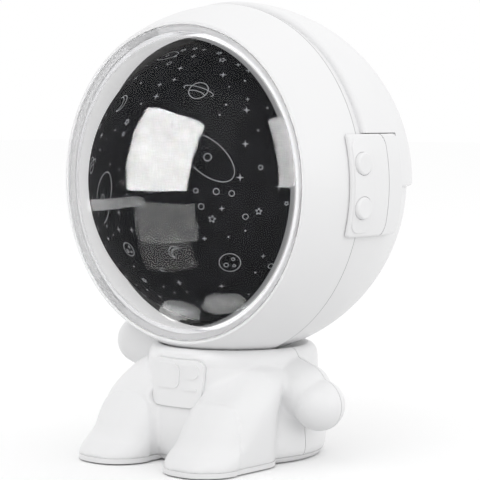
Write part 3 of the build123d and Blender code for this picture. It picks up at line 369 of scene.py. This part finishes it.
MATERIAL_NODES = {
    "front": ("front_shell",),
    "shell": (
        "rear_shell", "ear_cap_left", "ear_cap_right", "ear_base_left", "ear_base_right",
        "body_front", "body_rear", "chest_panel", "bottom_cover",
        "button_upper_left", "button_lower_left", "button_upper_right", "button_lower_right",
    ),
    "natural": ("pinion", "neck_bush", "neck_retainer"),
    "dark": ("lamp_post", "stage_plate", "neck_post"),
    "board": ("main_board", "button_board_left", "button_board_right"),
    "black": (
        "control_chip", "switch_upper_left", "switch_lower_left", "switch_upper_right", "switch_lower_right",
        "power_inductor", "dome_carrier",
    ),
    "plunger": (
        "plunger_upper_left", "plunger_lower_left", "plunger_upper_right", "plunger_lower_right",
    ),
    "steel": (
        "ear_screws", "stage_screws", "post_screws", "motor_screws", "neck_screws", "bush_screws",
        "retainer_screws", "body_screws", "cover_screws", "board_screws", "motor_shaft", "carrier_clip",
    ),
    "can": ("motor", "usb_socket", "capacitor"),
    "alloy": ("heat_sink",),
    "zinc": ("ballast_left", "ballast_right"),
    "cell": ("battery_cell",),
    "lamp_board": ("lamp_board",),
    "phosphor": ("lamp_emitter",),
    "lens": ("lamp_lens",),
    "film": ("star_dome",),
    "dome": ("visor",),
    "rubber": ("rubber_feet",),
}


def make_materials():
    return {
        "shell": moulded_plastic("white_abs", SHELL_WHITE, SHELL_ROUGHNESS),
        "front": front_plastic_seam_shadow("white_abs_front_seam_shadow", SHELL_WHITE, SHELL_ROUGHNESS),
        "natural": moulded_plastic("natural_acetal", (0.74, 0.73, 0.69), 0.42),
        "dark": moulded_plastic("grey_abs", (0.12, 0.12, 0.125), 0.5, tint=0.05),
        "board": circuit_board("board_green", (0.02, 0.16, 0.06)),
        "black": moulded_plastic("black_moulding", (0.018, 0.018, 0.02), 0.45, grain=0.02, tint=0.1),
        "plunger": moulded_plastic("plunger_grey", (0.42, 0.42, 0.43), 0.4),
        "steel": metal("zinc_plated_steel", (0.62, 0.63, 0.65), 0.28),
        "can": metal("nickel_plate", (0.7, 0.69, 0.66), 0.2, stretch=(1.0, 6.0, 1.0)),
        "alloy": metal("anodised_alloy", (0.78, 0.79, 0.8), 0.36, stretch=(1.0, 1.0, 8.0)),
        "zinc": metal("cast_zinc", (0.5, 0.51, 0.53), 0.5, scale=500.0),
        "cell": moulded_plastic("cell_wrap", (0.05, 0.14, 0.36), 0.24, grain=0.02),
        "lamp_board": circuit_board("board_white", (0.62, 0.62, 0.6)),
        "phosphor": moulded_plastic("phosphor", (0.82, 0.66, 0.14), 0.3),
        "lens": clear_lens(),
        "film": star_film(),
        "dome": clear_dome(),
        "flange": frosted_flange(),
        "rubber": rubber(),
    }


def assign(obj, material):
    obj.data.materials.clear()
    obj.data.materials.append(material)


def dress_nodes(materials):
    for key, names in MATERIAL_NODES.items():
        for name in names:
            assign(node(name), materials[key])


# Star dome print


def dome_frame(tilt, turn):
    """Right, up and outward directions at a place on the dome.

    The place is tilt degrees off the dome's axis and turn degrees around it.
    """
    tilt = math.radians(tilt)
    turn = math.radians(turn)
    out = Vector((math.sin(tilt) * math.cos(turn), -math.cos(tilt), math.sin(tilt) * math.sin(turn)))
    right = Vector((0.0, 0.0, 1.0)).cross(out)
    right = -right.normalized() if right.length > 0.01 else Vector((1.0, 0.0, 0.0))
    return right, out.cross(right).normalized(), out


class Print:
    """Flat shapes laid onto the star dome, gathered in one mesh."""

    def __init__(self):
        self.points = []
        self.faces = []

    def add(self, place, spin, outline):
        """Adds a face from an outline in millimetres around a place on the dome."""
        right, up, out = place
        first = len(self.points)
        cos = math.cos(spin)
        sin = math.sin(spin)
        for x, y in outline:
            across = (x * cos - y * sin) * MM
            along = (x * sin + y * cos) * MM
            direction = (out * STAR_R + right * across + up * along).normalized()
            self.points.append(HEAD_CENTRE + direction * (STAR_R + MOTIF_LIFT))
        self.faces.append(tuple(range(first, len(self.points))))

    def line(self, place, spin, path, closed=False):
        """Adds a thin line along a path in millimetres."""
        half = MOTIF_LINE / MM / 2
        pairs = list(zip(path, path[1:] + (path[:1] if closed else [])))
        for (ax, ay), (bx, by) in pairs:
            length = math.hypot(bx - ax, by - ay) or 1.0
            nx = -(by - ay) / length * half
            ny = (bx - ax) / length * half
            near_side = [(ax - nx, ay - ny), (bx - nx, by - ny)]
            far_side = [(bx + nx, by + ny), (ax + nx, ay + ny)]
            self.add(place, spin, near_side + far_side)

    def build(self):
        mesh = bpy.data.meshes.new("star_print")
        mesh.from_pydata([tuple(p) for p in self.points], [], self.faces)
        obj = bpy.data.objects.new("star_print", mesh)
        bpy.context.scene.collection.objects.link(obj)
        return obj


def ring_path(radius_x, radius_y, start=0.0, end=360.0, steps=28, centre=(0.0, 0.0)):
    points = []
    for i in range(steps + 1):
        angle = math.radians(start + (end - start) * i / steps)
        points.append((centre[0] + radius_x * math.cos(angle), centre[1] + radius_y * math.sin(angle)))
    return points


def star_outline(points, outer, inner):
    outline = []
    for i in range(2 * points):
        radius = outer if i % 2 == 0 else inner
        angle = math.pi * i / points
        outline.append((radius * math.cos(angle), radius * math.sin(angle)))
    return outline


def add_dot(sheet, place, spin, size):
    sheet.add(place, spin, ring_path(0.3 * size, 0.3 * size, steps=9)[:-1])


def add_four_point_star(sheet, place, spin, size):
    sheet.add(place, 0.0, star_outline(4, 1.0 * size, 0.24 * size))


def add_five_point_star(sheet, place, spin, size):
    outline = star_outline(5, 0.95 * size, 0.42 * size)
    sheet.line(place, spin, outline, closed=True)


def add_cross(sheet, place, spin, size):
    sheet.line(place, 0.0, [(-0.8 * size, 0.0), (0.8 * size, 0.0)])
    sheet.line(place, 0.0, [(0.0, -0.8 * size), (0.0, 0.8 * size)])


def add_small_ring(sheet, place, spin, size):
    sheet.line(place, spin, ring_path(0.7 * size, 0.7 * size, steps=16))


def add_ringed_planet(sheet, place, spin, size):
    sheet.line(place, spin, ring_path(1.9 * size, 1.9 * size))
    sheet.line(place, spin, ring_path(3.3 * size, 0.75 * size, 152.0, 388.0))
    sheet.line(place, spin, ring_path(1.9 * size, 0.7 * size, 200.0, 340.0, 14, (0.0, 0.9 * size)))


def add_cratered_planet(sheet, place, spin, size):
    sheet.line(place, spin, ring_path(2.3 * size, 2.3 * size))
    sheet.line(place, spin, ring_path(0.5 * size, 0.5 * size, steps=14, centre=(0.8 * size, 0.6 * size)))
    sheet.line(place, spin, ring_path(0.35 * size, 0.35 * size, steps=12, centre=(-0.7 * size, -0.9 * size)))
    sheet.line(place, spin, ring_path(0.3 * size, 0.3 * size, steps=12, centre=(-0.9 * size, 0.8 * size)))


def add_crescent(sheet, place, spin, size):
    sheet.line(place, spin, ring_path(1.8 * size, 1.8 * size, 60.0, 300.0))
    sheet.line(place, spin, ring_path(1.5 * size, 1.58 * size, 82.0, 278.0, centre=(0.7 * size, 0.0)))


def add_orbit(sheet, place, spin, size):
    sheet.line(place, spin, ring_path(5.2 * size, 2.6 * size, 20.0, 330.0, 40))
    sheet.line(place, spin, ring_path(0.6 * size, 0.6 * size, steps=14))


def add_comet(sheet, place, spin, size):
    sheet.line(place, spin, ring_path(0.8 * size, 0.8 * size, steps=16))
    for offset, length in ((-0.6, 3.4), (0.0, 4.4), (0.6, 3.2)):
        sheet.line(place, spin, [(1.1 * size, offset * size), (length * size, offset * size)])


LARGE_MOTIFS = (
    # kind, tilt, turn, spin, size
    (add_ringed_planet, 34.0, 168.0, 24.0, 1.35),
    (add_orbit, 20.0, 196.0, 62.0, 1.7),
    (add_cratered_planet, 27.0, 252.0, 0.0, 1.0),
    (add_crescent, 38.0, 120.0, 18.0, 1.6),
    (add_comet, 46.0, 206.0, -28.0, 1.0),
    (add_ringed_planet, 44.0, 62.0, -20.0, 1.6),
    (add_orbit, 33.0, 20.0, -40.0, 1.9),
    (add_cratered_planet, 48.0, 318.0, 0.0, 1.4),
    (add_crescent, 30.0, 300.0, 150.0, 1.1),
    (add_comet, 24.0, 84.0, 140.0, 1.5),
    (add_ringed_planet, 62.0, 255.0, 12.0, 1.0),
    (add_cratered_planet, 60.0, 150.0, 0.0, 0.9),
    (add_comet, 62.0, 20.0, 200.0, 0.9),
    (add_orbit, 60.0, 100.0, 10.0, 0.9),
)
SMALL_MOTIFS = (
    (add_dot, 9), (add_four_point_star, 6), (add_cross, 2), (add_small_ring, 2), (add_five_point_star, 2),
)


def angle_between(a, b):
    return math.degrees(a.angle(b))


def free_places(taken):
    """Scattered places on the dome that keep clear of the large motifs and of each other."""
    places = []
    for _ in range(MOTIF_TRIES):
        tilt = math.degrees(math.acos(random.uniform(math.cos(math.radians(MOTIF_EDGE_DEGREES)), 1.0)))
        place = dome_frame(tilt, random.uniform(0.0, 360.0))
        if all(angle_between(place[2], out) > gap for out, gap in taken):
            taken.append((place[2], MOTIF_GAP_DEGREES))
            places.append(place)
        if len(places) == MOTIF_COUNT:
            break
    return places


def make_star_print():
    random.seed(MOTIF_SEED)
    sheet = Print()
    taken = []
    for draw, tilt, turn, spin, size in LARGE_MOTIFS:
        place = dome_frame(tilt, turn)
        draw(sheet, place, math.radians(spin), size)
        taken.append((place[2], LARGE_MOTIF_GAP_DEGREES * size))
    kinds = [draw for draw, weight in SMALL_MOTIFS for _ in range(weight)]
    for place in free_places(taken):
        draw = random.choice(kinds)
        spin = random.uniform(0.0, math.tau)
        size = random.uniform(*MOTIF_SIZES)
        draw(sheet, place, spin, size)
    obj = sheet.build()
    assign(obj, motif_ink())
    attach(obj, "star_drum")
    return obj


# Body skin


def joined_copy(names):
    """One new mesh object from copies of some nodes' meshes."""
    solid = bmesh.new()
    for name in names:
        solid.from_mesh(node(name).data)
    mesh = bpy.data.meshes.new("body_skin")
    solid.to_mesh(mesh)
    solid.free()
    obj = bpy.data.objects.new("body_skin", mesh)
    bpy.context.scene.collection.objects.link(obj)
    return obj


def apply_modifiers(obj):
    graph = bpy.context.evaluated_depsgraph_get()
    mesh = bpy.data.meshes.new_from_object(obj.evaluated_get(graph))
    obj.modifiers.clear()
    obj.data = mesh


def torso_radius(z):
    """Rough outer radius of the torso at a height."""
    share = min(max((z - TORSO_BASE_Z) / TORSO_RISE, 0.0), 1.0)
    return TORSO_BASE_R - TORSO_TAPER * share


def soften_weight(point):
    """How much a point takes part in the softening: fully near where limbs meet the torso.

    The cup under the head and the face behind the chest panel keep their exact form.
    """
    if (point - HEAD_CENTRE).length < CUP_R + CUP_GUARD:
        return 0.0
    if abs(point.x) < PANEL_GUARD_X and point.y < PANEL_GUARD_Y and point.z > PANEL_GUARD_Z:
        return 0.0
    if not JUNCTION_LOW_Z < point.z < JUNCTION_HIGH_Z:
        return 0.0
    off = abs(math.hypot(point.x, point.y) - torso_radius(point.z)) / JUNCTION_REACH
    return min(max(JUNCTION_GAIN * (1.0 - off), 0.0), 1.0)


def soften(obj):
    """Blends the limbs into the torso and takes the facets off the whole skin."""
    group = obj.vertex_groups.new(name="junctions")
    for vertex in obj.data.vertices:
        weight = soften_weight(vertex.co)
        if weight > 0:
            group.add([vertex.index], weight, "REPLACE")
    blend = obj.modifiers.new("blend", "SMOOTH")
    blend.factor = 0.5
    blend.iterations = SOFTEN_STEPS
    blend.vertex_group = group.name
    polish = obj.modifiers.new("polish", "SMOOTH")
    polish.factor = 0.5
    polish.iterations = POLISH_STEPS
    apply_modifiers(obj)


def part_of(source, name, point, normal, close=False):
    """New piece from the part of a mesh on the side of a plane that its normal points away from."""
    solid = bmesh.new()
    solid.from_mesh(source)
    geometry = solid.verts[:] + solid.edges[:] + solid.faces[:]
    cut = bmesh.ops.bisect_plane(solid, geom=geometry, plane_co=point, plane_no=normal, clear_outer=True)
    if close:
        edges = [item for item in cut["geom_cut"] if isinstance(item, bmesh.types.BMEdge)]
        bmesh.ops.triangle_fill(solid, edges=edges, use_beauty=False)
    mesh = bpy.data.meshes.new(name)
    solid.to_mesh(mesh)
    solid.free()
    piece = bpy.data.objects.new(name, mesh)
    bpy.context.scene.collection.objects.link(piece)
    return piece


def make_body_skin(material):
    skin = joined_copy(("body_front", "body_rear"))
    remesh = skin.modifiers.new("voxels", "REMESH")
    remesh.mode = "VOXEL"
    remesh.voxel_size = SKIN_VOXEL
    apply_modifiers(skin)
    soften(skin)
    for name, side in (("body_front", -1), ("body_rear", 1)):
        seam = Vector((0.0, side * SKIN_SEAM, 0.0))
        half = part_of(skin.data, name + "_skin", seam, Vector((0.0, -side, 0.0)), close=True)
        assign(half, material)
        shade_smooth(half)
        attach(half, "body")
        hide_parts(name)
    bpy.data.objects.remove(skin)


def make_visor(materials):
    """The visor as its clear dome and its frosted flange, which are one moulding."""
    edge = Vector((0.0, -(FLANGE_Z + FLANGE_THICK), 0.0))
    for name, key, side in (("visor_dome", "dome", 1), ("visor_flange", "flange", -1)):
        piece = part_of(node("visor").data, name, edge, Vector((0.0, side, 0.0)))
        assign(piece, materials[key])
        shade_smooth(piece)
        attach(piece, "visor")
        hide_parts("visor")


def shade_smooth(obj, angle=28.0):
    obj.data.shade_smooth()
    obj.data.set_sharp_from_angle(angle=math.radians(angle))


# Camera, light and ground


def aim(camera):
    """Places the camera so that the head's centre falls on its pixel of the frame."""
    yaw = math.radians(CAMERA_YAW)
    elevation = math.radians(CAMERA_ELEVATION)
    back = Vector(
        (math.sin(yaw) * math.cos(elevation), -math.cos(yaw) * math.cos(elevation), math.sin(elevation))
    )
    camera.location = HEAD_CENTRE + back * CAMERA_DISTANCE
    yaw_shift = math.atan((HEAD_PIXEL[0] - PIXELS / 2) / FOCAL_PIXELS)
    pitch_shift = math.atan((HEAD_PIXEL[1] - PIXELS / 2) / FOCAL_PIXELS)
    camera.rotation_euler = (math.pi / 2 - elevation + pitch_shift, 0.0, yaw + yaw_shift)


def make_camera():
    data = bpy.data.cameras.new("camera")
    camera = bpy.data.objects.new("camera", data)
    bpy.context.scene.collection.objects.link(camera)
    data.sensor_width = SENSOR_MM
    data.lens = FOCAL_PIXELS / PIXELS * SENSOR_MM
    aim(camera)
    bpy.context.scene.camera = camera


def camera_direction(right, up, near):
    """World direction from one given to the camera's right, up and towards the camera."""
    yaw = math.radians(CAMERA_YAW)
    across = Vector((math.cos(yaw), math.sin(yaw), 0.0))
    towards = Vector((math.sin(yaw), -math.cos(yaw), 0.0))
    return across * right + Vector((0.0, 0.0, up)) + towards * near


def area_light(name, location, size, power, roll=0.0, shape="RECTANGLE"):
    """Soft light that faces the head's centre."""
    data = bpy.data.lights.new(name, "AREA")
    data.shape = shape
    data.size, data.size_y = size
    data.energy = power
    light = bpy.data.objects.new(name, data)
    bpy.context.scene.collection.objects.link(light)
    light.location = location
    facing = (HEAD_CENTRE - location).to_track_quat("-Z", "Y").to_matrix().to_4x4()
    turn = Matrix.Rotation(math.radians(roll), 4, "Z")
    light.rotation_euler = (facing @ turn).to_euler()
    light.visible_camera = False
    return light


def make_lights():
    key = HEAD_CENTRE + camera_direction(-0.35, 0.9, 0.9)
    area_light("key", key, (1.0, 1.0), KEY_POWER)
    fill = HEAD_CENTRE + camera_direction(1.0, 0.3, 0.6)
    area_light("fill", fill, (1.2, 0.6), FILL_POWER)


DOME_LIGHTS = (
    # name, mm from the head's centre to the camera's right, up and near, size in mm, roll, brightness, shape
    ("window", (-750.0, 300.0, 585.0), (860.0, 960.0), -3.0, 84.0, "RECTANGLE"),
    ("window_on_table", (-66.8, -38.3, 83.1), (71.0, 41.0), -3.0, 10.0, "RECTANGLE"),
    ("window_fading", (-60.4, -63.7, 64.6), (56.0, 34.0), -3.0, 5.0, "RECTANGLE"),
    ("table_edge", (-112.0, -20.0, 30.0), (98.0, 10.0), 2.0, 16.0, "RECTANGLE"),
    ("side_window", (568.0, 340.0, 748.0), (240.0, 800.0), 0.0, 48.0, "RECTANGLE"),
    ("far_boot", (-24.4, -60.9, 19.9), (22.0, 18.0), 0.0, 17.0, "ELLIPSE"),
    ("near_boot", (-4.6, -60.9, 36.8), (22.0, 16.0), 0.0, 20.0, "ELLIPSE"),
)


def make_dome_lights():
    """A window and what lies in front of the toy, as only the clear dome reflects them."""
    dome_only = bpy.data.collections.new("dome_only")
    dome_only.objects.link(bpy.data.objects["visor_dome"])
    for name, place, (width, height), roll, brightness, shape in DOME_LIGHTS:
        location = HEAD_CENTRE + camera_direction(*place) * MM
        area = width * height * MM**2 * (math.pi / 4 if shape == "ELLIPSE" else 1.0)
        power = brightness * math.pi * area
        light = area_light(name, location, (width * MM, height * MM), power, roll, shape)
        light.light_linking.receiver_collection = dome_only


def make_world():
    world = bpy.data.worlds.new("studio")
    bpy.context.scene.world = world
    world.use_nodes = True
    nodes = Nodes(world.node_tree)
    sky = nodes.add("ShaderNodeBackground", {"Color": rgb(1.0, 1.0, 1.0), "Strength": 1.0})
    nodes.add("ShaderNodeOutputWorld", {"Surface": sky.outputs[0]})


def make_floor():
    mesh = bpy.data.meshes.new("floor")
    half = 6.0
    corners = [(-half, -half, 0), (half, -half, 0), (half, half, 0), (-half, half, 0)]
    mesh.from_pydata(corners, [], [(0, 1, 2, 3)])
    floor = bpy.data.objects.new("floor", mesh)
    bpy.context.scene.collection.objects.link(floor)
    material, nodes = new_material("floor_white")
    bounce = rgb(FLOOR_BOUNCE, FLOOR_BOUNCE, FLOOR_BOUNCE)
    seen = rgb(FLOOR_SEEN, FLOOR_SEEN, FLOOR_SEEN)
    colour = nodes.mix(nodes.seen_directly(), bounce, seen)
    diffuse = nodes.add("ShaderNodeBsdfDiffuse", {"Color": colour})
    nodes.output(diffuse.outputs[0])
    mesh.materials.append(material)


bpy.context.scene.view_settings.view_transform = "Standard"
make_camera()
make_world()
make_floor()
make_lights()
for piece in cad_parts.values():
    shade_smooth(piece)
finishes = make_materials()
dress_nodes(finishes)
make_body_skin(finishes["shell"])
make_visor(finishes)
make_star_print()
make_dome_lights()
